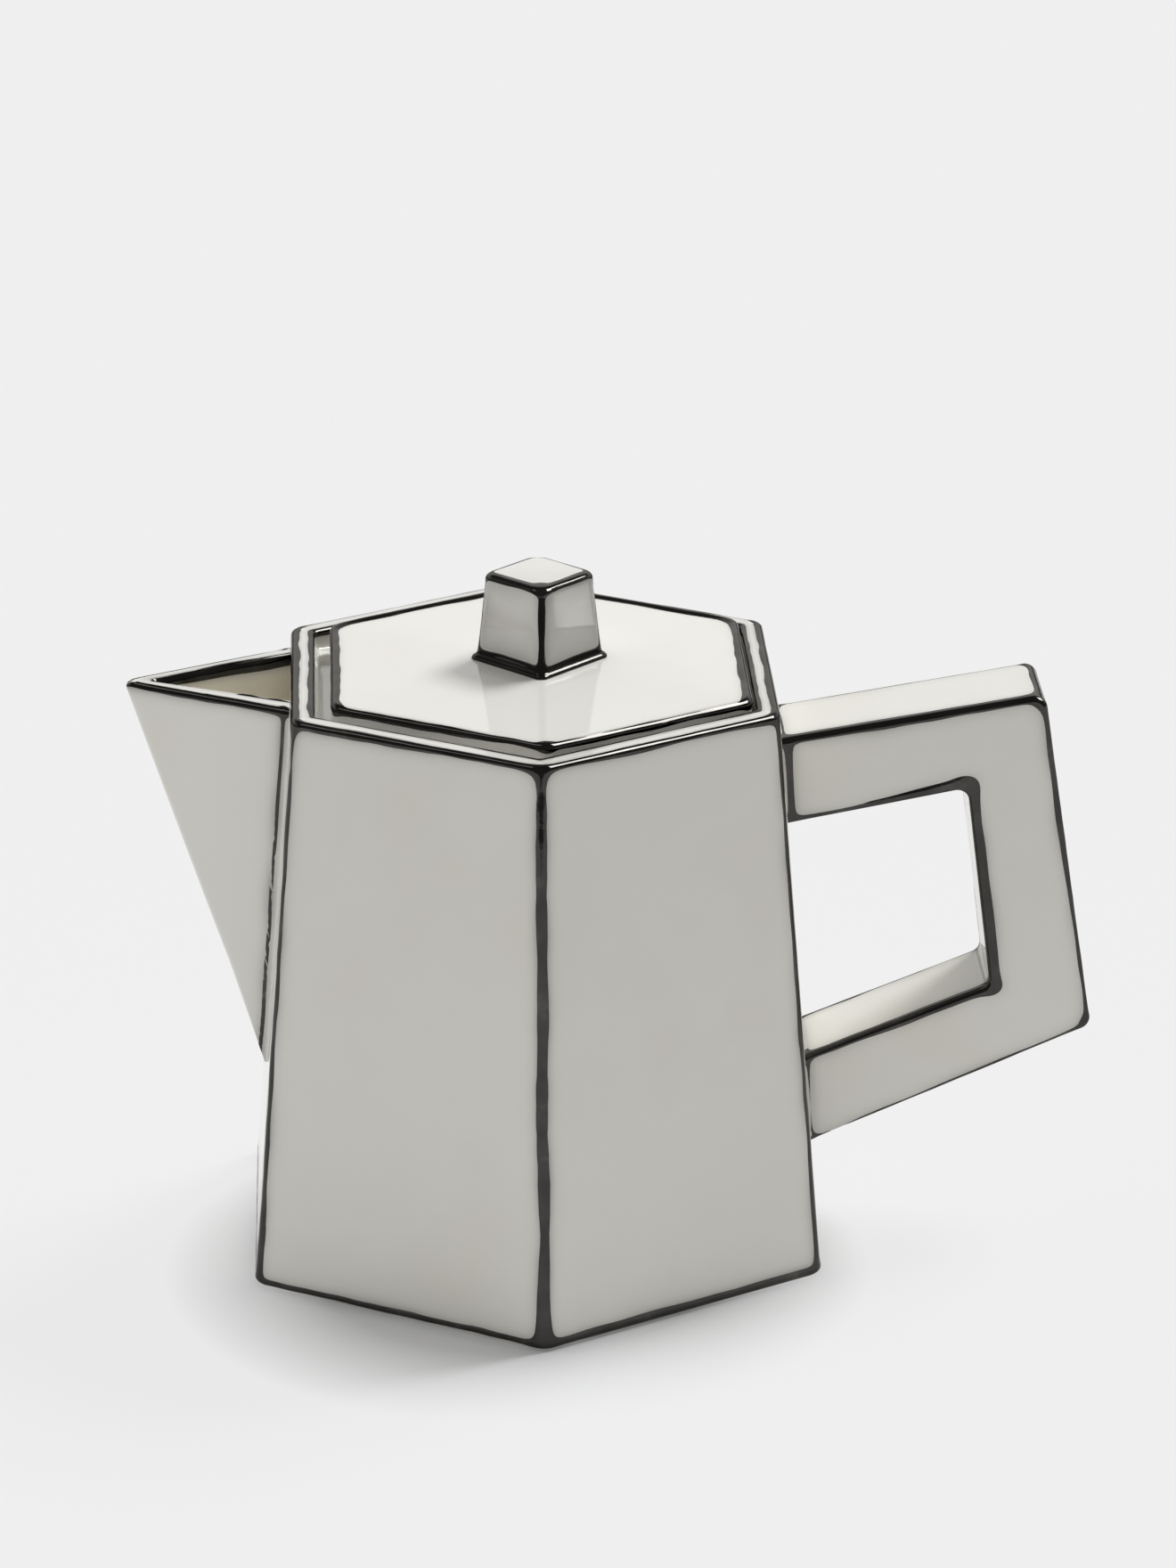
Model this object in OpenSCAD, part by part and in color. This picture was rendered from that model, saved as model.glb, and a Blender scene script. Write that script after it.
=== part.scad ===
// Hexagonal glazed porcelain teapot with a lift-off lid and metallic lustre lines.
// The origin is the centre of the base on the table. +X points to the handle, -X to the spout,
// and +Z is up. The hexagon's flats face +X and -X, and two of its corners face +Y and -Y.

/* [Body] */
// Height of the body from the table to the rim
body_h = 140; // [130:1:150]
// Distance across the flats of the hexagon at the base
base_flats = 134.4; // [130:0.2:140]
// Distance across the flats of the hexagon at the rim
rim_flats = 112.6; // [110:0.2:118]
// Thickness of the cast walls
wall = 4.8; // [4:0.1:5.5]
// Radius of the rounded upright edges
edge_r = 4; // [2:0.5:5]
// Thickness of the floor
floor_t = 6; // [5:0.5:8]
// Depth of the hollow under the floor
foot_recess = 2.5; // [1:0.5:3]
// Width of the foot that stands on the table
foot_w = 7; // [5:0.5:10]

/* [Lid seat] */
// Depth of the seat below the rim
seat_depth = 5; // [4:0.5:6]
// Thickness of the seat's ledge
seat_t = 4; // [3:0.5:5]
// Height of the sloping underside of the ledge
seat_slope_h = 8; // [6:0.5:12]
// Distance across the flats of the mouth inside the ledge
mouth_flats = 86; // [84:0.5:90]

/* [Lid] */
// Distance across the flats of the lid plate
lid_flats = 96.6; // [94:0.2:98]
// Thickness of the lid plate at its edge
lid_t = 7; // [6:0.1:8]
// Height of the lid's middle above its edge
lid_crown = 1.2; // [0.6:0.1:2]
// How far the lid rests off centre, towards the handle
lid_shift = 1.9; // [0:0.1:2]
// Distance across the flats of the locating flange under the lid
flange_flats = 81.4; // [78:0.2:81.6]
// Wall thickness of the locating flange
flange_wall = 4.4; // [3.5:0.1:5]
// Depth of the locating flange below the lid plate
flange_h = 11; // [8:0.5:14]

/* [Knob] */
// Height of the knob above the lid
knob_h = 21.3; // [18:0.1:26]
// Corner to corner width of the knob at its top
knob_top_diag = 27.4; // [24:0.2:30]
// Corner to corner width of the knob just above its flared foot
knob_base_diag = 30.2; // [26:0.2:34]
// Height of the flared foot
knob_flare_h = 2.5; // [1:0.5:3]
// How far each corner of the foot flares out
knob_flare_w = 1.4; // [0.5:0.1:2.5]
// Radius of the knob's upright edges
knob_r = 1.8; // [1:0.1:3]

/* [Spout] */
// Height of the spout's level top edge
spout_top = 139; // [136:0.5:139]
// Distance from the pot's axis to the tip of the spout
spout_reach = 95.8; // [85:0.2:105]
// Half width of the spout where its top meets the body
spout_half_w = 22.7; // [18:0.1:25]
// Height of the spout's lowest point on the body
spout_root = 39.8; // [30:0.2:60]
// Length of the solid lip between the tip and the channel
spout_lip = 6.9; // [5:0.1:9]
// Width of each side wall where its top meets the body
spout_side = 5.3; // [4:0.1:6]
// Height of the solid part below the channel
spout_heel = 20; // [14:1:26]

/* [Strainer] */
// Diameter of each strainer hole
hole_d = 5; // [3:0.5:5]
// Number of rows, the lowest with one hole
hole_rows = 4; // [2:1:4]
// Distance between the holes of a row
hole_step = 7; // [6.5:0.5:7]
// Distance between the rows
row_step = 9; // [7:1:10]
// Height of the top row
top_row = 122; // [115:1:124]

/* [Handle] */
// Width of the handle across the pot
handle_w = 24.4; // [18:0.2:30]
// Height where the upper arm's top meets the body
upper_arm_top = 125.8; // [120:0.2:130]
// Height where the upper arm's underside meets the body
upper_arm_low = 104.8; // [100:0.2:110]
// Height where the lower arm's top meets the body
lower_arm_top = 44.6; // [40:0.2:50]
// Height where the lower arm's underside meets the body
lower_arm_low = 22.6; // [16:0.2:30]
// Distance from the pot's axis to the handle's upper corner
upper_corner_x = 119.7; // [115:0.1:125]
// Height of the handle's upper corner
upper_corner_z = 136; // [130:0.5:140]
// Distance from the pot's axis to the handle's lower corner
lower_corner_x = 133.4; // [128:0.1:138]
// Height of the handle's lower corner
lower_corner_z = 52; // [48:0.5:56]
// Distance from the pot's axis to the upper corner of the finger opening
gap_upper_x = 102.5; // [98:0.1:105]
// Height of the upper corner of the finger opening
gap_upper_z = 113.2; // [110:0.2:116]
// Distance from the pot's axis to the lower corner of the finger opening
gap_lower_x = 108.9; // [104:0.1:111]
// Height of the lower corner of the finger opening
gap_lower_z = 62.7; // [60:0.1:68]
// Radius of the handle's rounded corners
handle_r = 3; // [1:0.5:5]

/* [Lustre lines] */
// Width of the metallic lines along the edges
line_w = 2.6; // [2:0.1:3.5]
// Thickness of the metallic lines
line_t = 0.3; // [0.2:0.05:0.4]
// Width of the metallic lines on the rim's top face
rim_line_w = 1.2; // [0.6:0.1:1.4]
// Distance from the body's face to the lines around the roots of the spout and the handle
seam_gap = 0.9; // [0.5:0.1:2]
// Width of the lines around the roots
seam_w = 1.5; // [1:0.1:2.5]

/* [Hidden] */
glaze = "ivory";
lustre = "dimgray";
over = 1;               // how far a cutting shape runs past the face that it cuts
arc_steps = 5;          // straight steps in each rounded corner
foot_gap = 0.8;         // clear height under the lowest line
rim_inner_flats = rim_flats - 2 * wall;
cavity_r = edge_r / 2;
seat_z = body_h - seat_depth;
lid_top = seat_z + lid_t;
lid_r = 3;
crown_top = lid_top + lid_crown;
crown_flats = knob_base_diag + 2 * knob_flare_w + 2;
knob_top = crown_top + knob_h;
knob_line_h = 1.8;

// The body's size across its flats, and the place of its +X face, at height z
function body_flats(z) = base_flats + (rim_flats - base_flats) * z / body_h;
function face_x(z) = body_flats(z) / 2;

function unit(v) = v / norm(v);

// Points of the arc that rounds corner b, between a and c, to radius r
function corner(a, b, c, r) =
    let (
        u = unit(a - b),
        v = unit(c - b),
        half = acos(u * v) / 2,
        centre = b + unit(u + v) * r / sin(half),
        p = b + u * r / tan(half) - centre,
        q = b + v * r / tan(half) - centre,
        start = atan2(p.y, p.x),
        turn = (atan2(q.y, q.x) - start + 540) % 360 - 180
    )
    r == 0 ? [b] : [for (i = [0 : arc_steps])
        centre + r * [cos(start + turn * i / arc_steps), sin(start + turn * i / arc_steps)]];

// An outline with every corner i rounded to radii[i]
function rounded(points, radii) =
    let (n = len(points))
    [for (i = [0 : n - 1]) each corner(points[(i + n - 1) % n], points[i], points[(i + 1) % n], radii[i])];

// A regular outline whose first corner faces -Y
function regular(sides, corner_radius) =
    [for (i = [0 : sides - 1]) corner_radius * [cos(360 * i / sides - 90), sin(360 * i / sides - 90)]];

function at_height(points, z) = [for (p = points) [p.x, p.y, z]];
function hex_ring(flats, z, r) =
    at_height(rounded(regular(6, flats / 2 / cos(30)), [for (i = [0 : 5]) r]), z);
function knob_ring(diag, z) =
    at_height(rounded(regular(4, diag / 2), [for (i = [0 : 3]) knob_r]), z);

// The outermost points of the body's upright edges at height z
function hex_corners(z) = at_height(regular(6, (body_flats(z) / 2 - edge_r) / cos(30) + edge_r), z);

// A closed solid through rings that all have the same number of points, the lowest ring first
module loft(rings) {
    n = len(rings[0]);
    last = len(rings) - 1;
    polyhedron(
        points = [for (ring = rings) each ring],
        faces = [
            [for (i = [0 : n - 1]) i],
            [for (i = [n - 1 : -1 : 0]) last * n + i],
            for (k = [0 : last - 1], i = [0 : n - 1])
                let (a = k * n + i, b = k * n + (i + 1) % n)
                each [[a, a + n, b + n], [a, b + n, b]]
        ]
    );
}

module hex_prism(flats, z0, z1, r) {
    loft([hex_ring(flats, z0, r), hex_ring(flats, z1, r)]);
}

// The outside of the body, grown by t, between two heights
module body_form(t, z0, z1) {
    loft([for (z = [z0, z1]) hex_ring(body_flats(z) + 2 * t, z, edge_r + t)]);
}

module slab(z0, z1) {
    translate([-200, -200, z0]) cube([400, 400, z1 - z0]);
}

// A thin rod along each upright edge, from one ring of corners to another
module edge_rods(low_corners, high_corners, radius) {
    for (i = [0 : len(low_corners) - 1])
        loft([for (c = [low_corners[i], high_corners[i]])
            [for (p = regular(8, radius)) [c.x + p.x, c.y + p.y, c.z]]]);
}

module tea_cavity() {
    loft([
        hex_ring(body_flats(floor_t) - 2 * wall, floor_t, cavity_r),
        hex_ring(body_flats(seat_z - seat_t - seat_slope_h) - 2 * wall,
                 seat_z - seat_t - seat_slope_h, cavity_r),
        hex_ring(mouth_flats, seat_z - seat_t, cavity_r),
        hex_ring(mouth_flats, seat_z + over, cavity_r)
    ]);
    hex_prism(rim_inner_flats, seat_z, body_h + over, cavity_r);
}

module strainer_holes() {
    for (row = [0 : hole_rows - 1], i = [0 : hole_rows - 1 - row])
        translate([-face_x(0), (i - (hole_rows - 1 - row) / 2) * hole_step, top_row - row * row_step])
            rotate([0, 90, 0])
                cylinder(d = hole_d, h = face_x(0) / 2, $fn = 48);
}

module body() {
    color(glaze)
    difference() {
        body_form(0, 0, body_h);
        tea_cavity();
        strainer_holes();
        hex_prism(base_flats - 2 * foot_w, -over, foot_recess, cavity_r);
    }
}

// A wedge with its level top at height z, its back on the body's -X face and its corners drawn
// in from the outside of the spout: the tip by lip, each side by side and the root by heel.
// The back runs past the face by depth.
module spout_wedge(lip, side, heel, z, depth) {
    root = [-face_x(spout_root + heel), 0, spout_root + heel];
    rise = (z - root.z) / (spout_top - root.z);
    tip = root + ([-spout_reach + lip, 0, spout_top] - root) * rise;
    back = [-face_x(spout_top), spout_half_w - side, spout_top];
    near = root + ([back.x, -back.y, back.z] - root) * rise;
    far = root + (back - root) * rise;
    shift = [depth, 0, 0];
    polyhedron(
        points = [tip, near, far, root, near + shift, far + shift, root + shift],
        faces = depth == 0
            ? [[0, 2, 1], [0, 1, 3], [0, 3, 2], [1, 2, 3]]
            : [[0, 2, 5, 4, 1], [0, 1, 3], [0, 3, 2], [1, 4, 6, 3], [2, 3, 6, 5], [4, 5, 6]]
    );
}

// The outside of the spout, grown by t on its two sides
module spout_form(t, z, depth) {
    spout_wedge(-t / sin(30), -t / cos(30), -t * (spout_top - spout_root) / spout_half_w, z, depth);
}

module spout_channel(t, z) {
    spout_wedge(spout_lip + t / sin(30), spout_side + t / cos(30), spout_heel + 5 * t, z, over);
}

module spout() {
    color(glaze)
    difference() {
        spout_form(0, spout_top, 0);
        spout_channel(0, spout_top + over);
    }
}

function handle_outline() = rounded(
    [
        [face_x(upper_arm_top), upper_arm_top],
        [face_x(upper_arm_low), upper_arm_low],
        [gap_upper_x, gap_upper_z],
        [gap_lower_x, gap_lower_z],
        [face_x(lower_arm_top), lower_arm_top],
        [face_x(lower_arm_low), lower_arm_low],
        [lower_corner_x, lower_corner_z],
        [upper_corner_x, upper_corner_z]
    ],
    [0, 0, handle_r, handle_r, 0, 0, handle_r, handle_r]
);

// The handle, grown by t
module handle_form(t) {
    rotate([90, 0, 0])
        linear_extrude(height = handle_w + 2 * t, center = true)
            offset(delta = t) polygon(handle_outline());
}

module handle() {
    color(glaze)
    handle_form(0);
}

// The lid plate grown by t, from height z to its gently raised middle
module lid_form(t, z) {
    loft([
        hex_ring(lid_flats + 2 * t, z, lid_r + t),
        hex_ring(lid_flats + 2 * t, lid_top + t, lid_r + t),
        hex_ring(crown_flats, crown_top + t, lid_r)
    ]);
}

module lid() {
    color(glaze)
    translate([lid_shift, 0, 0])
        lid_form(0, seat_z);
}

module lid_flange() {
    color(glaze)
    translate([lid_shift, 0, 0])
        difference() {
            hex_prism(flange_flats, seat_z - flange_h, seat_z, lid_r);
            hex_prism(flange_flats - 2 * flange_wall, seat_z - flange_h - over, seat_z + over, cavity_r);
        }
}

// The knob grown by t, with its concave foot in four steps
module knob_form(t) {
    foot_steps = 4;
    loft([
        for (i = [0 : foot_steps])
            let (turn = 90 * i / foot_steps)
            knob_ring(
                knob_base_diag + 2 * knob_flare_w * (1 - sin(turn)) + 2 * t,
                crown_top + knob_flare_h * (1 - cos(turn))
            ),
        knob_ring(knob_top_diag + 2 * t, knob_top)
    ]);
}

module knob() {
    color(glaze)
    translate([lid_shift, 0, 0])
        knob_form(0);
}

module body_lines() {
    color(lustre)
    difference() {
        intersection() {
            body_form(line_t, foot_gap, body_h + line_t);
            union() {
                slab(foot_gap, foot_gap + line_w);
                slab(body_h - line_w, body_h + over);
                edge_rods(hex_corners(0), hex_corners(body_h), line_w);
            }
        }
        body_form(0, -over, body_h);
        hex_prism(rim_flats - 2 * rim_line_w, body_h - over, body_h + over, edge_r - rim_line_w);
        spout_form(line_t, spout_top, over);
    }
}

module rim_inner_line() {
    color(lustre)
    difference() {
        union() {
            hex_prism(rim_inner_flats + 2 * rim_line_w, body_h, body_h + line_t, cavity_r + rim_line_w);
            hex_prism(rim_inner_flats, body_h - line_w, body_h + line_t, cavity_r);
        }
        hex_prism(rim_inner_flats - 2 * line_t, body_h - line_w - over, body_h + over, cavity_r);
    }
}

module spout_lines() {
    color(lustre)
    difference() {
        intersection() {
            spout_form(line_t, spout_top, over);
            slab(spout_top - line_w, spout_top);
        }
        spout_form(0, spout_top + over, over);
        body_form(line_t, 0, body_h + over);
    }
    color(lustre)
    difference() {
        intersection() {
            spout_channel(0, spout_top);
            slab(spout_top - line_w, spout_top);
        }
        spout_channel(line_t, spout_top + over);
        body_form(line_t, 0, body_h + over);
    }
}

// The space between two grown outsides of the body, which holds the line around a root
module seam_band() {
    difference() {
        body_form(seam_gap + seam_w, 0, body_h);
        body_form(seam_gap, -over, body_h + over);
    }
}

module spout_seam_line() {
    color(lustre)
    difference() {
        intersection() {
            seam_band();
            spout_form(line_t, spout_top, over);
            slab(0, spout_top - line_w);
        }
        spout_form(0, spout_top, over);
    }
}

module handle_lines() {
    color(lustre)
    difference() {
        for (side = [-1, 1])
            translate([0, side * (handle_w + line_t) / 2, 0])
                rotate([90, 0, 0])
                    linear_extrude(height = line_t, center = true)
                        difference() {
                            polygon(handle_outline());
                            offset(delta = -line_w) polygon(handle_outline());
                        }
        body_form(seam_gap + seam_w, 0, body_h);
    }
}

module handle_seam_line() {
    color(lustre)
    difference() {
        intersection() {
            seam_band();
            handle_form(line_t);
        }
        handle_form(0);
    }
}

module lid_line() {
    color(lustre)
    translate([lid_shift, 0, 0])
        difference() {
            lid_form(line_t, lid_top - line_w);
            lid_form(0, seat_z);
            hex_prism(lid_flats - 2 * line_w, lid_top - over, crown_top + over, lid_r);
        }
}

module knob_lines() {
    color(lustre)
    translate([lid_shift, 0, 0])
        difference() {
            intersection() {
                knob_form(line_t);
                union() {
                    slab(crown_top, crown_top + knob_flare_h);
                    slab(knob_top - knob_line_h, knob_top);
                    edge_rods(
                        at_height(regular(4, knob_base_diag / 2), crown_top),
                        at_height(regular(4, knob_top_diag / 2), knob_top),
                        knob_line_h
                    );
                }
            }
            knob_form(0);
        }
}

body();
spout();
handle();
lid();
lid_flange();
knob();
body_lines();
rim_inner_line();
spout_lines();
spout_seam_line();
handle_lines();
handle_seam_line();
lid_line();
knob_lines();
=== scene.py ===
"""A hexagonal glazed porcelain teapot, its edges painted with dark metallic lustre.

Shapes are worked out in millimetres in the part's own frame and turned into metres when a mesh is
made. Each porcelain piece is one closed skin. Each set of lustre lines is a thin closed shell that
is cut out of a piece's skin where the paint's edge runs, so it follows every rounded edge.
"""

import math

import bpy
import numpy as np
from mathutils import Matrix, Vector


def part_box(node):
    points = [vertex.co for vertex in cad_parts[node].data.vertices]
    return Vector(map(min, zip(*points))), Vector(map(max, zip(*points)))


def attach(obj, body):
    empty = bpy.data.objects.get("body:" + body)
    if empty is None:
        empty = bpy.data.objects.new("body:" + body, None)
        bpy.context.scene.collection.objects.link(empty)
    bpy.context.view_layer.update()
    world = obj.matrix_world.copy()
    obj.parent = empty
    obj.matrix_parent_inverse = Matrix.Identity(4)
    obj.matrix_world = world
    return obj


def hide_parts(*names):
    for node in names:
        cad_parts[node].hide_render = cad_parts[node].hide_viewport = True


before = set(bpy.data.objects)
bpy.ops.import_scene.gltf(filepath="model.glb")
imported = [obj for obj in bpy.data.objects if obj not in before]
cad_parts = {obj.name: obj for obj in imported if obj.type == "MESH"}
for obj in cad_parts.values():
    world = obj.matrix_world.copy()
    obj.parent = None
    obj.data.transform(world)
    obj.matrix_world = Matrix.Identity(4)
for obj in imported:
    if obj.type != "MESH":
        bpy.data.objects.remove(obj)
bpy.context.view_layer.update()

MM = 0.001
COS30 = math.cos(math.radians(30))
SHARP = 35


def box_mm(node):
    low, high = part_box(node)
    return np.array(low) / MM, np.array(high) / MM


# ---- Sizes in millimetres, from the CAD nodes where their boxes give them ------------------------
BODY_HIGH, KNOB_HIGH, HANDLE_HIGH = (box_mm(node)[1] for node in ("body", "knob", "handle"))
LID_LOW, LID_HIGH = box_mm("lid")
FLANGE_LOW, FLANGE_HIGH = box_mm("lid_flange")
SPOUT_LOW, SPOUT_HIGH = box_mm("spout")

BODY_H = BODY_HIGH[2]
BASE_HALF = BODY_HIGH[0]
RIM_HALF = 56.3
WALL = 4.8
RIM_WALL = 5.3
FLOOR_T = 6.0
FOOT_W, FOOT_RECESS = 7.0, 2.5
MOUTH_HALF = 43.0
LEDGE_T, LEDGE_SLOPE_H = 4.0, 8.0
SEAT_Z = LID_LOW[2]
CROWN_TOP = LID_HIGH[2]
LID_CROWN = 1.2
LID_TOP = CROWN_TOP - LID_CROWN
LID_HALF = (LID_HIGH[0] - LID_LOW[0]) / 2
LID_X = (LID_HIGH[0] + LID_LOW[0]) / 2
FLANGE_HALF = (FLANGE_HIGH[0] - FLANGE_LOW[0]) / 2
FLANGE_WALL = 4.4
KNOB_TOP = KNOB_HIGH[2]
SPOUT_TOP = SPOUT_HIGH[2]
SPOUT_ROOT = SPOUT_LOW[2]
SPOUT_REACH = -SPOUT_LOW[0]
SPOUT_HALF = SPOUT_HIGH[1]
HANDLE_HALF = HANDLE_HIGH[1]

# The skins of the body and the lid end in a small ring this far from their axis, and a centre point
CORE = 0.8
# The spout and the handle run SINK into the body's wall, and their fillets end TUCK inside its face
SINK, TUCK = 0.6, 0.03


def face_x(z):
    """Distance from the pot's axis to the middle of one of the body's flat faces at height z."""
    return BASE_HALF + (RIM_HALF - BASE_HALF) * z / BODY_H


# ---- Outlines ------------------------------------------------------------------------------------
def unit(v):
    return v / np.linalg.norm(v)


def graded(length, fine, coarse, growth=1.35):
    """Fractions strictly inside 0 to 1 that are close together at both ends and wider in the middle."""
    marks, step, at = [], fine, fine
    while at < length / 2 - step * 0.6:
        marks.append(at)
        step = min(step * growth, coarse)
        at += step
    marks = np.array(marks) / length
    return np.concatenate([marks, [0.5], 1 - marks[::-1]])


def arc_at(before, at, after, radius, steps):
    """The points of the arc that rounds a corner of a flat path. It takes up less than half of the
    shorter side."""
    u, v = unit(before - at), unit(after - at)
    half = math.acos(max(-1.0, min(1.0, float(u @ v)))) / 2
    if radius < 1e-6 or half > math.pi / 2 - 1e-4:
        return np.array([at])
    radius = min(radius, 0.45 * math.tan(half) * min(np.linalg.norm(before - at), np.linalg.norm(after - at)))
    centre = at + unit(u + v) * radius / math.sin(half)
    p = at + u * radius / math.tan(half) - centre
    q = at + v * radius / math.tan(half) - centre
    start = math.atan2(p[1], p[0])
    turn = (math.atan2(q[1], q[0]) - start + 3 * math.pi) % (2 * math.pi) - math.pi
    angles = start + turn * np.linspace(0, 1, steps + 1)
    return centre + radius * np.stack([np.cos(angles), np.sin(angles)], -1)


def rounded_ring(corners, radius, marks, arc_steps=8):
    """A closed convex outline with rounded corners, starting with the arc at its first corner."""
    n = len(corners)
    arcs = [arc_at(corners[i - 1], corners[i], corners[(i + 1) % n], radius, arc_steps) for i in range(n)]
    points = []
    for i in range(n):
        a, b = arcs[i][-1], arcs[(i + 1) % n][0]
        points += [arcs[i], a + (b - a) * marks[:, None]]
    return np.concatenate(points)


def rounded_path(points, radii, values, spacing):
    """A flat open path with rounded corners. Returns its points, and the values given at its corners
    spread along it. spacing holds (fine, coarse) for each straight part."""
    arcs = arc_chain(points, radii, 6)
    last = len(arcs) - 1
    out, carried = [], []
    for i, arc in enumerate(arcs):
        out.append(arc)
        carried.append(np.full(len(arc), float(values[i])))
        if i < last:
            a, b = arc[-1], arcs[i + 1][0]
            marks = graded(np.linalg.norm(b - a), *spacing[i])
            out.append(a + (b - a) * marks[:, None])
            carried.append(values[i] + (values[i + 1] - values[i]) * marks)
    return np.concatenate(out), np.concatenate(carried)


def arc_chain(points, radii, steps):
    """An open flat path as one array for each of its points: its ends, and the arcs at its bends."""
    points = [np.array(p, float) for p in points]
    bends = [arc_at(*points[i - 1:i + 2], radii[i], steps) for i in range(1, len(points) - 1)]
    return [points[0][None], *bends, points[-1][None]]


def polygon(sides, half):
    """Corners of a regular outline that is 2 * half across its flats, the first one facing -Y."""
    angles = 2 * math.pi * np.arange(sides) / sides - math.pi / 2
    return half / math.cos(math.pi / sides) * np.stack([np.cos(angles), np.sin(angles)], -1)


def corners_at(sides, half, z, x=0.0):
    """The same corners as points in space, in a level outline at height z."""
    return [np.array([c[0] + x, c[1], z]) for c in polygon(sides, half)]


def hexagon(half, z, x=0.0):
    return corners_at(6, half, z, x)


def square(half, z):
    """The same for a square outline around the knob's axis."""
    return corners_at(4, half, z, LID_X)


# ---- Skins ---------------------------------------------------------------------------------------
def ring_at(flat, z, x=0.0):
    """A flat outline as a level ring of points at height z."""
    return np.column_stack([flat[:, 0] + x, flat[:, 1], np.full(len(flat), z)])


def rings_skin(rings, closed=False):
    """Vertices and triangles of a skin through rings of the same number of points. It ends in a
    centre point at each end, or joins its last ring to its first."""
    count, n = len(rings), len(rings[0])
    verts = np.concatenate(rings)
    i = np.arange(n)
    j = (i + 1) % n
    quads = []
    for k in range(count if closed else count - 1):
        a, b = k * n, (k + 1) % count * n
        quads.append(np.stack([a + i, a + j, b + j, b + i], -1))
    quads = np.concatenate(quads)
    tris = [quads[:, [0, 1, 2]], quads[:, [0, 2, 3]]]
    if not closed:
        verts = np.concatenate([verts, [rings[0].mean(0)], [rings[-1].mean(0)]])
        start, end, top = count * n, count * n + 1, (count - 1) * n
        tris.append(np.stack([np.full(n, start), j, i], -1))
        tris.append(np.stack([np.full(n, end), top + i, top + j], -1))
    return outward(verts, np.concatenate(tris))


def lattice_skin(p):
    """Vertices and triangles of the outer skin of a lattice of points p[u, v, w]."""
    index = np.arange(p.shape[0] * p.shape[1] * p.shape[2]).reshape(p.shape[:3])
    quads = []
    for sheet, flip in (
        (index[0], True), (index[-1], False), (index[:, 0], False),
        (index[:, -1], True), (index[:, :, 0], True), (index[:, :, -1], False),
    ):
        q = np.stack([sheet[:-1, :-1], sheet[1:, :-1], sheet[1:, 1:], sheet[:-1, 1:]], -1).reshape(-1, 4)
        quads.append(q[:, ::-1] if flip else q)
    quads = np.concatenate(quads)
    used, packed = np.unique(quads, return_inverse=True)
    quads = packed.reshape(quads.shape)
    return outward(p.reshape(-1, 3)[used], np.concatenate([quads[:, [0, 1, 2]], quads[:, [0, 2, 3]]]))


def outward(verts, tris):
    """The same skin with its triangles facing out."""
    a, b, c = (verts[tris[:, k]] for k in range(3))
    if np.einsum("ij,ij->i", a, np.cross(b, c)).sum() < 0:
        tris = tris[:, ::-1]
    return verts, tris


def vertex_normals(verts, tris):
    """Unit normals at the points, weighted by the areas of the triangles around them."""
    a, b, c = (verts[tris[:, k]] for k in range(3))
    face = np.cross(b - a, c - a)
    out = np.zeros_like(verts)
    for k in range(3):
        np.add.at(out, tris[:, k], face)
    return out / np.maximum(np.linalg.norm(out, axis=1), 1e-12)[:, None]


def make(name, verts, tris, material, sharp=SHARP):
    """A smooth-shaded object. Its edges that turn by more than sharp degrees stay sharp."""
    mesh = bpy.data.meshes.new(name)
    mesh.from_pydata((verts * MM).tolist(), [], tris.tolist())
    mesh.validate()
    mesh.polygons.foreach_set("use_smooth", [True] * len(mesh.polygons))
    mesh.set_sharp_from_angle(angle=math.radians(sharp))
    mesh.materials.append(material)
    piece = bpy.data.objects.new(name, mesh)
    bpy.context.scene.collection.objects.link(piece)
    return piece


def points_of(piece):
    """A piece's points, back in millimetres."""
    mesh = piece.data
    flat = np.empty(len(mesh.vertices) * 3)
    mesh.vertices.foreach_get("co", flat)
    return flat.reshape(-1, 3) / MM


def store(piece, name, amount):
    """Stores a number from 0 to 1 at each point, for the glaze to read."""
    layer = piece.data.attributes.new(name, "FLOAT", "POINT")
    layer.data.foreach_set("value", np.clip(amount, 0, 1))


def no_painted_shade(points):
    return np.zeros(len(points))


def darken_glaze(piece, lines, reach=1.0, strength=0.5, more=no_painted_shade):
    """Stores how much the glaze greys at each point, fading away from the painted lines, and
    more of it where the given function adds painted shade."""
    points = points_of(piece)
    outside = np.maximum(-lines(points), 0)
    by_lines = (strength + 0.16 * wobble(points, 27.0, 5)) * np.exp(-outside / reach)
    store(piece, "line_halo_and_painted_shade", by_lines + more(points))


# ---- Painted lines -------------------------------------------------------------------------------
# A line is given as a field: how far each point of a skin is inside the paint's edge. It is below 0
# outside, and BARE where the skin takes no paint.
BARE = -9.0
RANDOM = np.random.default_rng(7)
WAVES = [(unit(RANDOM.normal(size=3)), RANDOM.uniform(0, 2 * math.pi)) for _ in range(12)]


def wobble(p, length, first=0):
    """A smooth field from about -1 to 1 that changes over the given length."""
    total = 0
    for k in range(first, first + 4):
        direction, phase = WAVES[k % len(WAVES)]
        total = total + np.sin(p @ direction * (2 * math.pi / length) * (0.8 + 0.15 * (k % 4)) + phase)
    return total / 2.4


def shaken(p):
    """The points moved a little along each axis, so that a painted edge wavers as a brush does."""
    fine = np.stack([wobble(p, 9.0, k) for k in (0, 4, 8)], -1)
    slow = np.stack([wobble(p, 31.0, k) for k in (2, 6, 10)], -1)
    return p + 0.13 * fine + 0.2 * slow


def brush(points, variation, length, first):
    """How wide the brush is at each point, around 1."""
    return 1 + variation * wobble(points, length, first)


def to_tapered(p, a, b, start, end):
    """Distance outside a line whose reach changes evenly from one end to the other."""
    a, b = np.array(a, float), np.array(b, float)
    along = np.clip((p - a) @ (b - a) / ((b - a) @ (b - a)), 0, 1)
    reach = start + (end - start) * along
    return np.linalg.norm(p - a - along[:, None] * (b - a), axis=1) - reach


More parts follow.
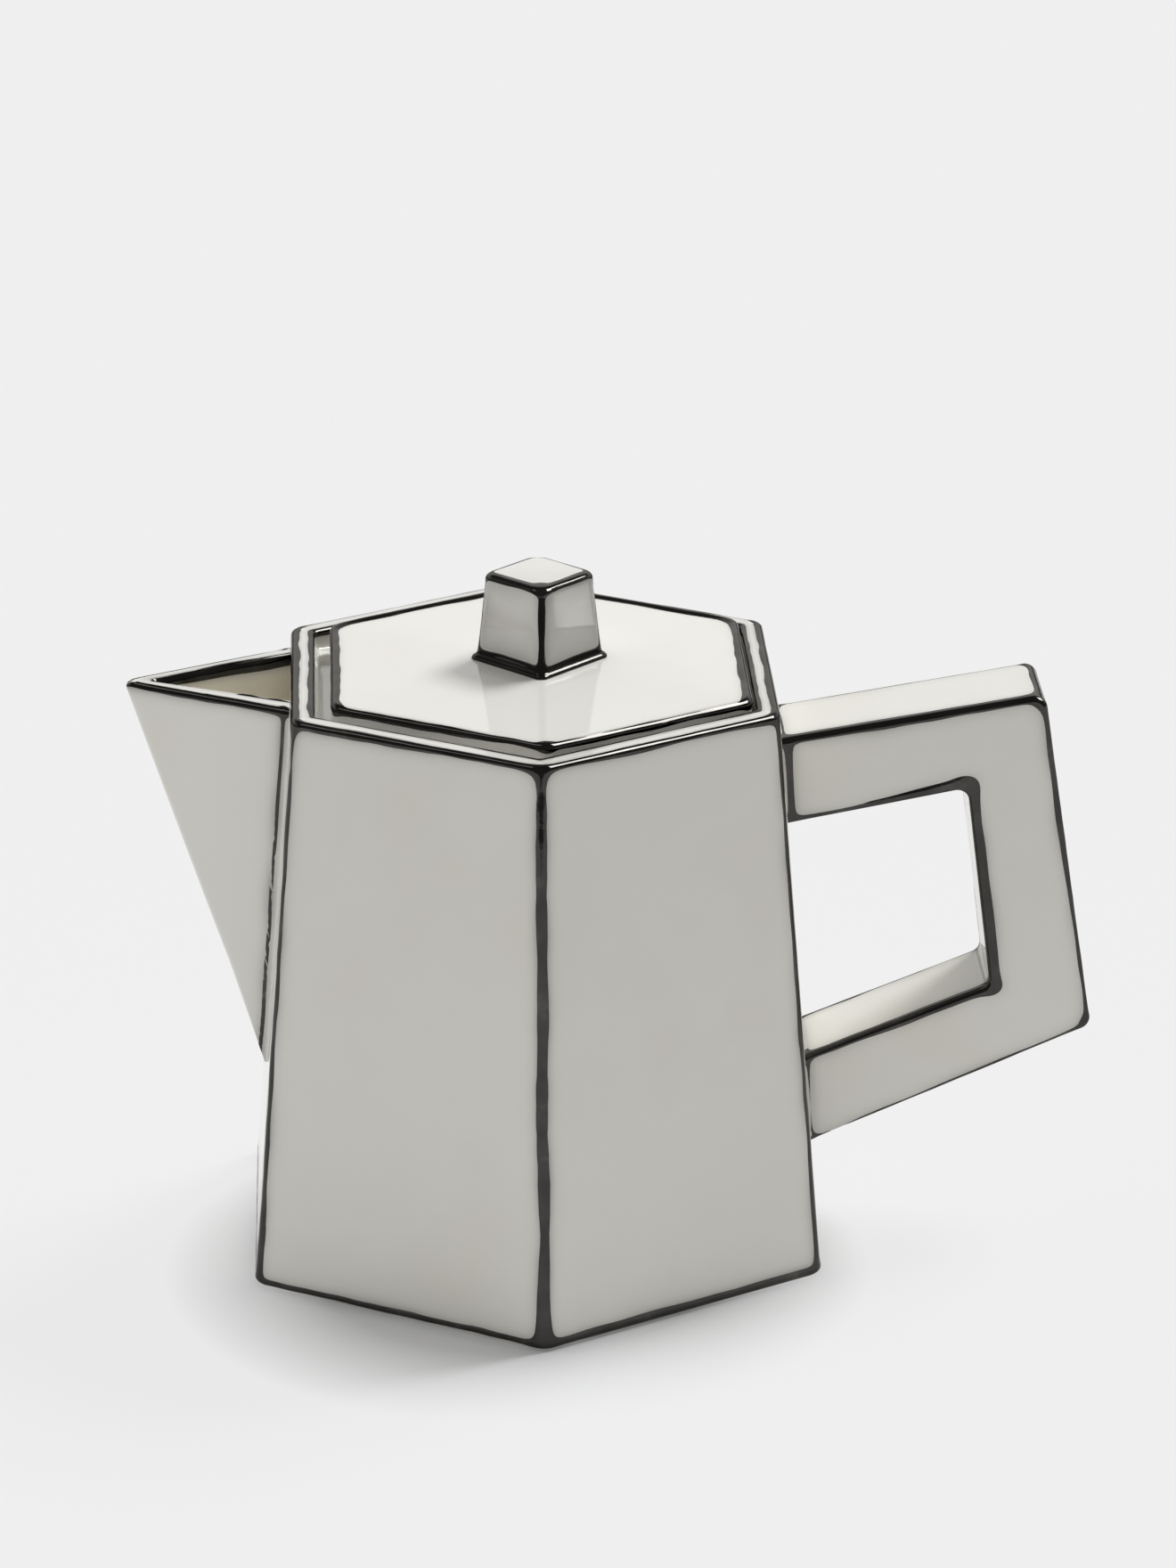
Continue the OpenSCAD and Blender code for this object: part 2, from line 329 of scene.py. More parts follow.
def to_segment(p, a, b):
    return to_tapered(p, a, b, 0, 0)


def to_path(p, path, closed=False):
    """Distance from the nearest segment of a path."""
    path = list(path) + ([path[0]] if closed else [])
    return np.min([to_segment(p, a, b) for a, b in zip(path[:-1], path[1:])], axis=0)


def merged(gaps, web):
    """How far each point is inside the painted lines. gaps are its distances outside each line, and
    web is how far the paint runs together where lines meet."""
    gaps = np.clip(np.array(gaps) / web, -40, 40)
    return web * np.log(np.exp(-gaps).sum(0))


def painted(name, verts, tris, inside, material, proud=0.18, sunk=0.35, soft=0.9, swell=None):
    """A closed shell over the part of a skin where inside is above 0. Its top stands proud of the skin
    by a rounded edge that is soft wide, and its underside is sunk into it. swell raises it in places."""
    normals = vertex_normals(verts, tris)
    inside = np.where(np.abs(inside) < 1e-4, -1e-4, inside)
    held = (inside > 0)[tris]
    count = held.sum(1)
    verts_out, normals_out, depth = [verts], [normals], [inside]
    kept = [tris[count == 3]]
    cut_tris = tris[(count == 1) | (count == 2)]
    cut_held = held[(count == 1) | (count == 2)]
    # Turn each cut triangle so that the vertex that differs from the other two comes first
    odd = np.where(cut_held.sum(1) == 1, cut_held.argmax(1), (~cut_held).argmax(1))
    order = (odd[:, None] + np.arange(3)) % 3
    cut_tris = np.take_along_axis(cut_tris, order, 1)
    lone_inside = inside[cut_tris[:, 0]] > 0
    edges = np.sort(np.concatenate([cut_tris[:, [0, 1]], cut_tris[:, [0, 2]]]), 1)
    unique, where = np.unique(edges, axis=0, return_inverse=True)
    where = where.reshape(2, -1) + len(verts)
    fa, fb = inside[unique[:, 0]], inside[unique[:, 1]]
    t = np.clip(fa / (fa - fb), 0.03, 0.97)[:, None]
    verts_out.append(verts[unique[:, 0]] * (1 - t) + verts[unique[:, 1]] * t)
    normals_out.append(normals[unique[:, 0]] * (1 - t) + normals[unique[:, 1]] * t)
    depth.append(np.zeros(len(unique)))
    one, two = lone_inside, ~lone_inside
    kept.append(np.stack([cut_tris[one, 0], where[0][one], where[1][one]], -1))
    kept.append(np.stack([where[0][two], cut_tris[two, 1], cut_tris[two, 2]], -1))
    kept.append(np.stack([where[0][two], cut_tris[two, 2], where[1][two]], -1))
    top = np.concatenate(kept)
    points, normals, depth = (np.concatenate(x) for x in (verts_out, normals_out, depth))
    used, packed = np.unique(top, return_inverse=True)
    top = packed.reshape(top.shape)
    points, depth = points[used], depth[used]
    normals = normals[used] / np.linalg.norm(normals[used], axis=1)[:, None]
    rise = np.clip(depth / soft, 0, 1)
    rise = proud * (0.2 + 0.8 * rise * rise * (3 - 2 * rise)) * (swell(points) if swell else 1)
    n = len(points)
    sides = np.concatenate([top[:, [0, 1]], top[:, [1, 2]], top[:, [2, 0]]])
    code = sides[:, 0] * n + sides[:, 1]
    back = sides[:, 1] * n + sides[:, 0]
    rim = sides[~np.isin(code, back)]
    walls = np.concatenate([
        np.stack([rim[:, 1], rim[:, 0], rim[:, 0] + n], -1),
        np.stack([rim[:, 1], rim[:, 0] + n, rim[:, 1] + n], -1),
    ])
    shell = np.concatenate([points + normals * rise[:, None], points - normals * sunk])
    return make(name, shell, np.concatenate([top, top[:, ::-1] + n, walls]), material)


# ---- Materials -----------------------------------------------------------------------------------
# Colours the glaze is mixed towards: grey near the painted lines and for painted shade, lighter and warmer
# for painted light inside the spout, and darker in its pinholes
LINE_HALO_AND_SHADE_COLOUR, SPOUT_PAINTED_LIGHT_COLOUR, PIN_COLOUR = (0.16, 0.155, 0.14, 1), (0.93, 0.87, 0.72, 1), (0.36, 0.34, 0.30, 1)
GLAZE_COLOURS = [(0.30, (0.805, 0.780, 0.705)), (0.50, (0.825, 0.809, 0.757)), (0.70, (0.818, 0.799, 0.741))]
GLAZE_ROUGHNESS = (0.03, 0.09)
LUSTRE_COLOURS = [(0.42, (0.052, 0.050, 0.047)), (0.60, (0.066, 0.064, 0.060)), (0.78, (0.120, 0.116, 0.108))]
LUSTRE_ROUGHNESS = (0.05, 0.14)


def nodes_of(name):
    material = bpy.data.materials.new(name)
    material.use_nodes = True
    tree = material.node_tree
    return material, tree, tree.nodes["Principled BSDF"]


def add(tree, kind, inputs=(), **settings):
    node = tree.nodes.new(kind)
    for key, value in settings.items():
        setattr(node, key, value)
    for key, value in dict(inputs).items():
        if isinstance(value, bpy.types.NodeSocket):
            tree.links.new(value, node.inputs[key])
        else:
            node.inputs[key].default_value = value
    return node


def mixed(tree, factor, a, b):
    """Colour a where factor is 0 and b where it is 1."""
    return add(tree, "ShaderNodeMix", {"Factor": factor, "A": a, "B": b}, data_type="RGBA").outputs["Result"]


def product(tree, a, b):
    return add(tree, "ShaderNodeMath", {0: a, 1: b}, operation="MULTIPLY").outputs[0]


def attribute(tree, name):
    return add(tree, "ShaderNodeAttribute", attribute_name=name).outputs["Fac"]


def noise_at(tree, place, scale, detail=2.0, roughness=0.5):
    return add(tree, "ShaderNodeTexNoise", {"Vector": place, "Scale": scale, "Detail": detail,
                                            "Roughness": roughness}).outputs["Fac"]


def ramp(tree, fac, stops):
    node = add(tree, "ShaderNodeValToRGB", {"Fac": fac})
    while len(node.color_ramp.elements) < len(stops):
        node.color_ramp.elements.new(0.5)
    for element, (at, colour) in zip(node.color_ramp.elements, stops):
        element.position = at
        element.color = (*colour, 1)
    return node.outputs["Color"]


def spread(tree, fac, low, high, from_low=0.0, from_high=1.0):
    return add(tree, "ShaderNodeMapRange", {"Value": fac, "From Min": from_low, "From Max": from_high,
                                            "To Min": low, "To Max": high}).outputs["Result"]


def glaze_material():
    """Ivory porcelain glaze: faint warm and cool patches, pinholes and a slow ripple in the gloss. It is
    greyed near the painted lines and by painted shade, and made lighter and warmer by painted light inside
    the spout.
    """
    material, tree, shader = nodes_of("ivory_glaze")
    place = add(tree, "ShaderNodeTexCoord").outputs["Object"]
    colour = ramp(tree, noise_at(tree, place, 26.0, 3.0), GLAZE_COLOURS)
    # Greyed near the painted lines and by painted shade, then made lighter and warmer by painted light inside
    # the spout
    colour = mixed(tree, attribute(tree, "line_halo_and_painted_shade"), colour, LINE_HALO_AND_SHADE_COLOUR)
    colour = mixed(tree, attribute(tree, "spout_painted_light"), colour, SPOUT_PAINTED_LIGHT_COLOUR)
    cells = add(tree, "ShaderNodeTexVoronoi", {"Vector": place, "Scale": 90.0, "Randomness": 1.0})
    chosen = spread(tree, cells.outputs["Color"], 0.0, 1.0, 0.955, 0.96)
    pin = product(tree, chosen, spread(tree, cells.outputs["Distance"], 1.0, 0.0, 0.018, 0.032))
    tree.links.new(mixed(tree, pin, colour, PIN_COLOUR), shader.inputs["Base Color"])
    shader.inputs["IOR"].default_value = 1.5
    tree.links.new(spread(tree, noise_at(tree, place, 60.0, 4.0), *GLAZE_ROUGHNESS, 0.3, 0.7),
                   shader.inputs["Roughness"])
    ripple = noise_at(tree, place, 38.0, 1.0)
    pitted = add(tree, "ShaderNodeMath", {0: ripple, 1: pin}, operation="SUBTRACT").outputs[0]
    bump = add(tree, "ShaderNodeBump", {"Height": pitted, "Strength": 0.06, "Distance": 0.001})
    tree.links.new(bump.outputs["Normal"], shader.inputs["Normal"])
    return material


def lustre_material():
    """Dark metallic lustre, with thinner greyer patches and faint brush streaks."""
    material, tree, shader = nodes_of("dark_lustre")
    place = add(tree, "ShaderNodeTexCoord").outputs["Object"]
    thin = noise_at(tree, place, 95.0, 5.0, 0.6)
    tree.links.new(ramp(tree, thin, LUSTRE_COLOURS), shader.inputs["Base Color"])
    shader.inputs["Metallic"].default_value = 1.0
    shader.inputs["Specular Tint"].default_value = (0.78, 0.77, 0.75, 1)
    tree.links.new(spread(tree, thin, *LUSTRE_ROUGHNESS, 0.4, 0.75), shader.inputs["Roughness"])
    streaks = noise_at(tree, place, 420.0, 2.0)
    bump = add(tree, "ShaderNodeBump", {"Height": streaks, "Strength": 0.05, "Distance": 0.0004})
    tree.links.new(bump.outputs["Normal"], shader.inputs["Normal"])
    return material


GLAZE, LUSTRE = glaze_material(), lustre_material()


def add_piece(piece, body, slot, *nodes):
    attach(piece, body)
    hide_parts(*nodes)
    return piece


# ---- Body ----------------------------------------------------------------------------------------
# Spacing of points along a straight part: fine at its ends, coarse in its middle, and how fast it grows
FINE = (0.45, 2.4, 1.22)
ROUGH = (2.5, 8.0)
SIDE_MARKS = graded(66, *FINE)
EDGE_R, INSIDE_R, CORE_R = 4.4, 2, 0.2
RIM_OUT_R, RIM_IN_R = 1.3, 0.9
HOLE_ROWS, HOLE_STEP, ROW_STEP, TOP_ROW = 4, 7, 9, 122
HOLE_R, HOLE_MOUTH_R = 2.5, 3.1


def body_skin():
    """The pot's skin, from the middle of its underside over the rim to the middle of its floor."""
    foot_in, rim_in = face_x(0) - FOOT_W, RIM_HALF - RIM_WALL
    ledge_low = SEAT_Z - LEDGE_T
    slope_low = ledge_low - LEDGE_SLOPE_H
    path, plan = rounded_path(
        [(CORE, FOOT_RECESS), (foot_in, FOOT_RECESS), (foot_in, 0), (BASE_HALF, 0), (RIM_HALF, BODY_H),
         (rim_in, BODY_H), (rim_in, SEAT_Z), (MOUTH_HALF, SEAT_Z), (MOUTH_HALF, ledge_low),
         (face_x(slope_low) - WALL, slope_low), (face_x(FLOOR_T) - WALL, FLOOR_T), (CORE, FLOOR_T)],
        [0, 1, 0.8, 1.6, RIM_OUT_R, RIM_IN_R, 2.2, 1, 1.2, 3, 4, 0],
        [CORE_R, *[INSIDE_R] * 2, EDGE_R, EDGE_R, *[INSIDE_R] * 6, CORE_R],
        [ROUGH, (0.7, 2), (1.2, 3), FINE, (0.4, 0.6), (0.5, 1.2), (1, 3), (0.8, 2), (2, 4), ROUGH, ROUGH],
    )
    rings = []
    for (half, z), radius in zip(path, plan):
        flat = rounded_ring(polygon(6, half), radius, SIDE_MARKS)
        rings.append(ring_at(flat, z))
    return rings_skin(rings)


def strainer(piece):
    """Cuts the strainer holes, slightly flared towards the spout, through the wall behind it."""
    verts, tris, sides = [], [], 40
    turn = 2 * math.pi * np.arange(sides) / sides
    for row in range(HOLE_ROWS):
        for i in range(HOLE_ROWS - row):
            y, z = (i - (HOLE_ROWS - 1 - row) / 2) * HOLE_STEP, TOP_ROW - row * ROW_STEP
            face = -face_x(z)
            steps = [(-3.0, HOLE_MOUTH_R), (-0.3, HOLE_MOUTH_R), (0.5, HOLE_R), (8.0, HOLE_R)]
            rings = [np.stack([np.full(sides, face + x), y + r * np.cos(turn), z + r * np.sin(turn)], -1)
                     for x, r in steps]
            v, t = rings_skin(rings)
            tris.append(t + sum(len(x) for x in verts))
            verts.append(v)
    cutter = make("cutter", np.concatenate(verts), np.concatenate(tris), GLAZE)
    cut = piece.modifiers.new("holes", "BOOLEAN")
    cut.operation, cut.object, cut.solver = "DIFFERENCE", cutter, "MANIFOLD"
    bpy.context.view_layer.update()
    mesh = bpy.data.meshes.new_from_object(piece.evaluated_get(bpy.context.evaluated_depsgraph_get()))
    piece.modifiers.clear()
    piece.data = mesh
    mesh.set_sharp_from_angle(angle=math.radians(SHARP))
    bpy.data.objects.remove(cutter)


def hex_reach(points):
    """How far out each point is, measured square to the nearest of the body's flat faces."""
    turns = 2 * math.pi * np.arange(6) / 6
    return (points[:, :2] @ np.stack([np.cos(turns), np.sin(turns)])).max(1)


# How far the paint reaches from each line's middle. The uprights start at the front one, and their
# paint widens towards the base. The base takes no paint below the height BARE_FOOT.
RIM_SIDE_REACH, RIM_FRONT_REACH = 1.75, 1.3
BASE_LEFT_REACH, BASE_RIGHT_MORE = 0.82, 0.5
UPRIGHT_REACH = (1.5, 1.2, 1.2, 1.2, 1.2, 1.2)
BASE_LINE_Z, BARE_FOOT = 1.5, 0.4
RIM_IN_REACH, RIM_IN_FRONT_LESS = 1.5, 0.55


def body_lines(points):
    """The lines round the rim's outer edge, down the six upright edges and round the base."""
    p = shaken(points)
    z = points[:, 2]
    wide = brush(points, 0.10, 23.0, 3)
    base_reach = BASE_LEFT_REACH + BASE_RIGHT_MORE * np.clip(points[:, 0] / 20, 0, 1)
    rim, base = hexagon(RIM_HALF, BODY_H), hexagon(face_x(BASE_LINE_Z), BASE_LINE_Z)
    front, back = hexagon(RIM_HALF + 0.15, BODY_H - 0.3), hexagon(RIM_HALF + 0.15, BODY_H - 0.9)
    gaps = [to_path(p, rim[1:3]) - RIM_SIDE_REACH * wide, to_path(p, rim[4:6]) - RIM_SIDE_REACH * wide,
            to_path(p, back[2:5]) - RIM_FRONT_REACH * wide,
            to_path(p, [front[5], front[0], front[1]]) - RIM_FRONT_REACH * wide,
            to_path(p, base, True) - base_reach * wide]
    # Beside the spout the rim's line dips from the corner to the spout's edge
    spout_z, corner_z = 137.8, 138.7
    for side in (-1, 1):
        dip = to_segment(p, (-face_x(spout_z), 24 * side, spout_z), (-RIM_HALF, 32 * side, corner_z))
        gaps.append(dip - RIM_FRONT_REACH * wide)
    widening = 0.55 * np.exp(-(z - BASE_LINE_Z) / 14)
    for low, high, reach in zip(base, rim, UPRIGHT_REACH):
        gaps.append(to_segment(p, low, high) - (reach + widening) * wide)
    web = 0.75 + 0.75 * np.exp(-(points[:, 0] / 16) ** 2)
    outside = hex_reach(points) > face_x(z) - WALL / 2
    return np.where(outside, np.minimum(merged(gaps, web), z - BARE_FOOT), BARE)


def rim_inner_line(points):
    """The line round the rim's inner edge, which is thin where the rim faces the front."""
    p = shaken(points)
    front = np.clip((-points[:, 1] - 24) / 8, 0, 1)
    reach = (RIM_IN_REACH - RIM_IN_FRONT_LESS * front) * brush(points, 0.10, 23.0, 3)
    edge = hexagon(RIM_HALF - RIM_WALL, BODY_H - 0.1)
    on_rim = (points[:, 2] > SEAT_Z + 1) & (hex_reach(points) < RIM_HALF - RIM_WALL / 2)
    return np.where(on_rim, reach - to_path(p, edge, True), BARE)


body_verts, body_tris = body_skin()
body = add_piece(make("body_porcelain", body_verts, body_tris, GLAZE), "pot", "glaze", "body")
strainer(body)
darken_glaze(body, lambda points: np.maximum(body_lines(points), rim_inner_line(points)))
add_piece(painted("body_lustre", body_verts, body_tris, body_lines(body_verts), LUSTRE), "pot", "lustre",
          "body_lines")
add_piece(painted("rim_inner_lustre", body_verts, body_tris, rim_inner_line(body_verts), LUSTRE), "pot",
          "lustre", "rim_inner_line")

# ---- Spout ---------------------------------------------------------------------------------------
SPOUT_SIDE, INNER_TIP, HEEL = 5.3, 5.6, 20
LIP_OUT_R, LIP_IN_R = 1.9, 0.9


def spout_wedge(z, inset, root, reach, half):
    """Back, tip and half width of a wedge at height z, its root on the body's face at height root."""
    s = np.maximum((z - root) / (SPOUT_TOP - root), 0)
    soft = 0.5 * (s + np.sqrt(s * s + 0.0002))
    back = -face_x(z)
    tip = -face_x(root) + soft * (face_x(root) - reach)
    tip = np.minimum(tip, back) + inset / math.sin(math.radians(30))
    return back, tip, half * soft - inset / COS30


def spout_path(back, tip, half, tip_r, fillet, foot, fractions):
    """One wall's line at one height, from the near side round the tip to the far side."""
    sunk, near = back + SINK, back + TUCK
    if foot:
        corners = [(sunk, -half - foot), (near, -half - foot), (near, -half), (tip - tip_r, 0), (near, half),
                   (near, half + foot), (sunk, half + foot)]
        radii = [0, 0, fillet, tip_r, fillet, 0, 0]
    else:
        corners, radii = [(sunk, -half), (tip, 0), (sunk, half)], [0, tip_r, 0]
    dense = np.concatenate(arc_chain(corners, radii, 12))
    lengths = np.concatenate([[0], np.cumsum(np.linalg.norm(np.diff(dense, axis=0), axis=1))])
    lengths /= lengths[-1]
    return np.stack([np.interp(fractions, lengths, dense[:, k]) for k in (0, 1)], -1)


def spout_lattice():
    """Points round the V, through its wall and up to its rounded lip. The middle of the wall near its
    root runs solid, because the channel's floor starts HEEL higher."""
    lower, upper, lip_steps = SPOUT_ROOT + 1.2, SPOUT_TOP - LIP_OUT_R, 5
    levels = [lower + (upper - lower) * t for t in [0, *graded(upper - lower, 0.6, 2.6), 1]]
    turns = [0.0] * len(levels) + [math.pi / 2 * k / lip_steps for k in range(1, lip_steps + 1)]
    levels += [upper] * lip_steps
    half_marks = np.concatenate([[0], np.linspace(0.012, 0.10, 9), 0.10 + 0.82 * graded(20, 0.6, 1.3),
                                 np.linspace(0.92, 1, 11)]) / 2
    fractions = np.unique(np.round(np.concatenate([half_marks, 1 - half_marks]), 6))
    across = np.array([0, 0.07, 0.16, 0.27, 0.42, 0.58, 0.73, 0.84, 0.93, 1.0])
    lattice = np.zeros((len(fractions), len(across), len(levels), 3))
    for w, (level, turn) in enumerate(zip(levels, turns)):
        z_out = level + LIP_OUT_R * math.sin(turn)
        z_in = SPOUT_TOP - LIP_IN_R * (1 - math.sin(turn)) if turn else level
        inset_out = LIP_OUT_R * (1 - math.cos(turn))
        inset_in = LIP_IN_R * (1 - math.cos(turn))
        back, tip, half = spout_wedge(z_out, inset_out, SPOUT_ROOT, SPOUT_REACH, SPOUT_HALF)
        small = 0.3 * half + 0.1
        fillet = min(1.7, small)
        outer_line = spout_path(back, tip, half, min(2.0, small), fillet, fillet * 0.58 + 0.05, fractions)
        back_in, tip_in, half_in = spout_wedge(z_in, -inset_in, SPOUT_ROOT + HEEL, SPOUT_REACH - INNER_TIP,
                                               SPOUT_HALF - SPOUT_SIDE)
        half_in = min(half_in, 0.8 * half)
        inner_line = spout_path(back_in, tip_in, half_in, min(1.2, 0.3 * half_in), 0, 0, fractions)
        for v, t in enumerate(across):
            lattice[:, v, w, :2] = outer_line * (1 - t) + inner_line * t
            lattice[:, v, w, 2] = z_out * (1 - t) + z_in * t
    return lattice


spout_verts, spout_tris = lattice_skin(spout_lattice())
spout = add_piece(make("spout_porcelain", spout_verts, spout_tris, GLAZE, 50), "pot", "glaze", "spout")


def outside_spout(points):
    """Whether each point of the spout's skin is on its outer side."""
    x, y, z = points.T
    grown = np.maximum(z - SPOUT_ROOT, 1) / (SPOUT_TOP - SPOUT_ROOT)
    from_face, top_reach = -face_x(z) - x, 39.4
    return np.abs(y) / SPOUT_HALF > 0.9 * grown * (1 - from_face / (top_reach * grown)) - 0.02


def spout_lines(points):
    """The lines along the lip's outer and inner edges, and round the spout's root."""
    p = shaken(points)
    wide = brush(points, 0.10, 23.0, 1)
    from_face = -face_x(points[:, 2]) - points[:, 0]
    root_x = -face_x(SPOUT_TOP) + 1

    def edge(half, tip, height):
        return [np.array([root_x, -half, height]), np.array([tip, 0, height]),
                np.array([root_x, half, height])]

    outer = edge(SPOUT_HALF + 0.4, -SPOUT_REACH + 0.2, SPOUT_TOP - 0.55)
    inner = edge(SPOUT_HALF - SPOUT_SIDE, -SPOUT_REACH + INNER_TIP, SPOUT_TOP - 1.45)
    seam = np.abs(from_face + 0.25 * wobble(points, 17.0) - 1.65) - 0.42 * wide
    outer_field = merged([to_path(p, outer) - 1.15 * wide, seam], 0.7)
    outer_field = np.where(outside_spout(points) & (from_face > 0.2), outer_field, BARE)
    inner_field = 1.45 * wide - to_path(p, inner)
    return np.maximum(outer_field, np.where(from_face > 0.0, inner_field, BARE))


darken_glaze(spout, spout_lines)
# Painted light: inside the spout the glaze turns lighter and warmer from just below its lip downwards
spout_points = points_of(spout)
depth_inside = np.where(outside_spout(spout_points), 0, SPOUT_TOP - 1.5 - spout_points[:, 2])
store(spout, "spout_painted_light", 0.9 * np.clip(depth_inside / 4, 0, 1))
add_piece(painted("spout_lustre", spout_verts, spout_tris, spout_lines(spout_verts), LUSTRE), "pot", "lustre",
          "spout_lines", "spout_seam_line")

# ---- Handle --------------------------------------------------------------------------------------
UPPER_TOP, UPPER_LOW, LOWER_TOP, LOWER_LOW = 125.8, 104.8, 44.6, 22.6
OUTER_BENDS = [(120.1, 136.05), (133.08, 52.05)]
INNER_BENDS = [(102.5, 113.2), (108.9, 62.7)]
BEND_R, HANDLE_EDGE_R, ROOT_R = 3.0, 1.1, 1.4


def handle_path(start, end, bends, side):
    """One edge of the handle's front outline, from its upper root to its lower one."""
    first, last = start + side * (ROOT_R + 0.05), end - side * (ROOT_R + 0.05)
    corners = [(face_x(first) - SINK, first), (face_x(first) - TUCK, first), (face_x(start) - TUCK, start),
               *bends, (face_x(end) - TUCK, end), (face_x(last) - TUCK, last), (face_x(last) - SINK, last)]
    arcs = arc_chain(corners, [0, 0, ROOT_R, BEND_R, BEND_R, ROOT_R, 0, 0], 8)
    counts = [1, 1, 30, 40, 30, 1, 1, 1]
    out = []
    for i, (arc, count) in enumerate(zip(arcs, counts)):
        out.append(arc)
        if count > 1:
            a, b = arc[-1], arcs[i + 1][0]
            marks = np.linspace(0, 1, count + 1)[1:-1]
            marks = marks - 0.12 * np.sin(2 * math.pi * marks) / (2 * math.pi) * 4
            out.append(a + (b - a) * marks[:, None])
    return np.concatenate(out)


def path_normals(path, side):
    """Flat normals of the path that point into the material."""
    along = np.gradient(path, axis=0)
    along /= np.linalg.norm(along, axis=1)[:, None]
    return side * np.stack([along[:, 1], -along[:, 0]], -1)


def handle_lattice():
    """Points along the handle, through its bar and across its width, flared where it meets the body."""
    outer_line = handle_path(UPPER_TOP, LOWER_LOW, OUTER_BENDS, 1)
    inner_line = handle_path(UPPER_LOW, LOWER_TOP, INNER_BENDS, -1)
    into_outer, into_inner = path_normals(outer_line, 1), path_normals(inner_line, -1)
    turns = np.linspace(0, math.pi / 2, 6)
    flat_half = HANDLE_HALF - HANDLE_EDGE_R
    middle = flat_half * (2 * np.concatenate([[0], graded(2 * flat_half, 0.5, 2.4), [1]]) - 1)
    levels = [(-flat_half - HANDLE_EDGE_R * math.sin(t), HANDLE_EDGE_R * (1 - math.cos(t)))
              for t in turns[:0:-1]]
    levels += [(y, 0.0) for y in middle]
    levels += [(flat_half + HANDLE_EDGE_R * math.sin(t), HANDLE_EDGE_R * (1 - math.cos(t)))
               for t in turns[1:]]
    across = np.concatenate([[0], graded(19, 0.55, 2.0), [1]])
    lattice = np.zeros((len(outer_line), len(across), len(levels), 3))
    for w, (y, inset) in enumerate(levels):
        a = outer_line + into_outer * inset
        b = inner_line + into_inner * inset
        for v, t in enumerate(across):
            point = a * (1 - t) + b * t
            reach = np.clip(point[:, 0] - face_x(point[:, 1]), 0, ROOT_R)
            flare = ROOT_R - np.sqrt(np.maximum(ROOT_R ** 2 - (ROOT_R - reach) ** 2, 0))
            lattice[:, v, w, 0], lattice[:, v, w, 2] = point.T
            lattice[:, v, w, 1] = y * (1 + flare / HANDLE_HALF)
    return lattice


handle_verts, handle_tris = lattice_skin(handle_lattice())
handle = add_piece(make("handle_porcelain", handle_verts, handle_tris, GLAZE, 50), "pot", "glaze", "handle")

# Each straight edge of the handle's front: the paint's reach from it at its start and its end, and how
# far the paint leans over the face that is square to the front. At the back the paint keeps to the
# back's own face.
OUTER_PAINT = [(1.75, 1.75, 0.9), (1.5, 1.0, 0.0), (0.85, 0.85, 0.0)]
INNER_PAINT = [(1.1, 1.5, 0.1), (2.4, 2.5, -0.2), (1.95, 1.4, 0.6)]
BACK_PAINT, BACK_IN = 1.25, 0.9


def handle_lines(points):
    """The lines along the handle's front and back edges, across its outer bends and round its roots."""
    p = shaken(points)
    wide = brush(points, 0.10, 23.0, 5)
    from_face = points[:, 0] - face_x(points[:, 2])
    gaps = []
    outer = [(face_x(UPPER_TOP) - 1, UPPER_TOP - 0.16), *OUTER_BENDS,
             (face_x(LOWER_LOW) - 1, LOWER_LOW - 0.4)]
    inner = [(face_x(UPPER_LOW) - 1, UPPER_LOW - 0.1), *INNER_BENDS, (face_x(LOWER_TOP) - 1, LOWER_TOP)]
    for corners, paints, turn in ((outer, OUTER_PAINT, 1), (inner, INNER_PAINT, -1)):
        for a, b, (start, end, lean) in zip(corners[:-1], corners[1:], paints):
            y = HANDLE_HALF - lean
            gaps.append(to_tapered(p, (a[0], -y, a[1]), (b[0], -y, b[1]), start, end))
            along = unit(np.array(b) - np.array(a)) * turn * BACK_IN
            a, b = (a[0] + along[1], a[1] - along[0]), (b[0] + along[1], b[1] - along[0])
            gaps.append(to_segment(p, (a[0], HANDLE_HALF, a[1]), (b[0], HANDLE_HALF, b[1])) - BACK_PAINT)
    # The opening's top line thickens towards its bend
    (far_x, far_z), (bend_x, bend_z) = inner[0], inner[1]
    half_way = ((far_x + bend_x) / 2, -HANDLE_HALF, (far_z + bend_z) / 2)
    gaps.append(to_tapered(p, half_way, (bend_x - 2, -HANDLE_HALF, bend_z), 0.9, 2.3))
    middle, across = np.array([108.0, 0, 90.0]), np.array([0, HANDLE_HALF, 0])
    for (bend_x, bend_z), reach in zip(OUTER_BENDS, (2.3, 1.5)):
        at = np.array([bend_x, 0, bend_z])
        at = at + unit(middle - at) * 0.9
        gaps.append(to_segment(p, at - across, at + across) - reach * wide)
    beside = np.clip((np.abs(points[:, 1]) - HANDLE_HALF + 1.2) / 1.0, 0, 1)
    upper = np.clip((points[:, 2] - 60) / 30, 0, 1)
    seam_half = 0.28 + 0.52 * upper * beside
    gaps.append(np.abs(from_face + 0.2 * wobble(points, 17.0) - 1.35 - seam_half) - seam_half * wide)
    return np.where(from_face > 0.25, merged(gaps, 0.9), BARE)


def handle_painted_shade(points):
    """Painted shade inside the handle's opening, around its lower outer corner."""
    bend_x, bend_z = INNER_BENDS[1]
    away = np.hypot(points[:, 0] - bend_x, points[:, 2] - bend_z)
    inside = (points[:, 0] < bend_x + 0.5) & (np.abs(points[:, 1]) < HANDLE_HALF - 1.3) & (points[:, 2] < 90)
    return np.where(inside & (points[:, 2] > LOWER_TOP - 1), 0.42 * np.exp(-away / 20), 0)


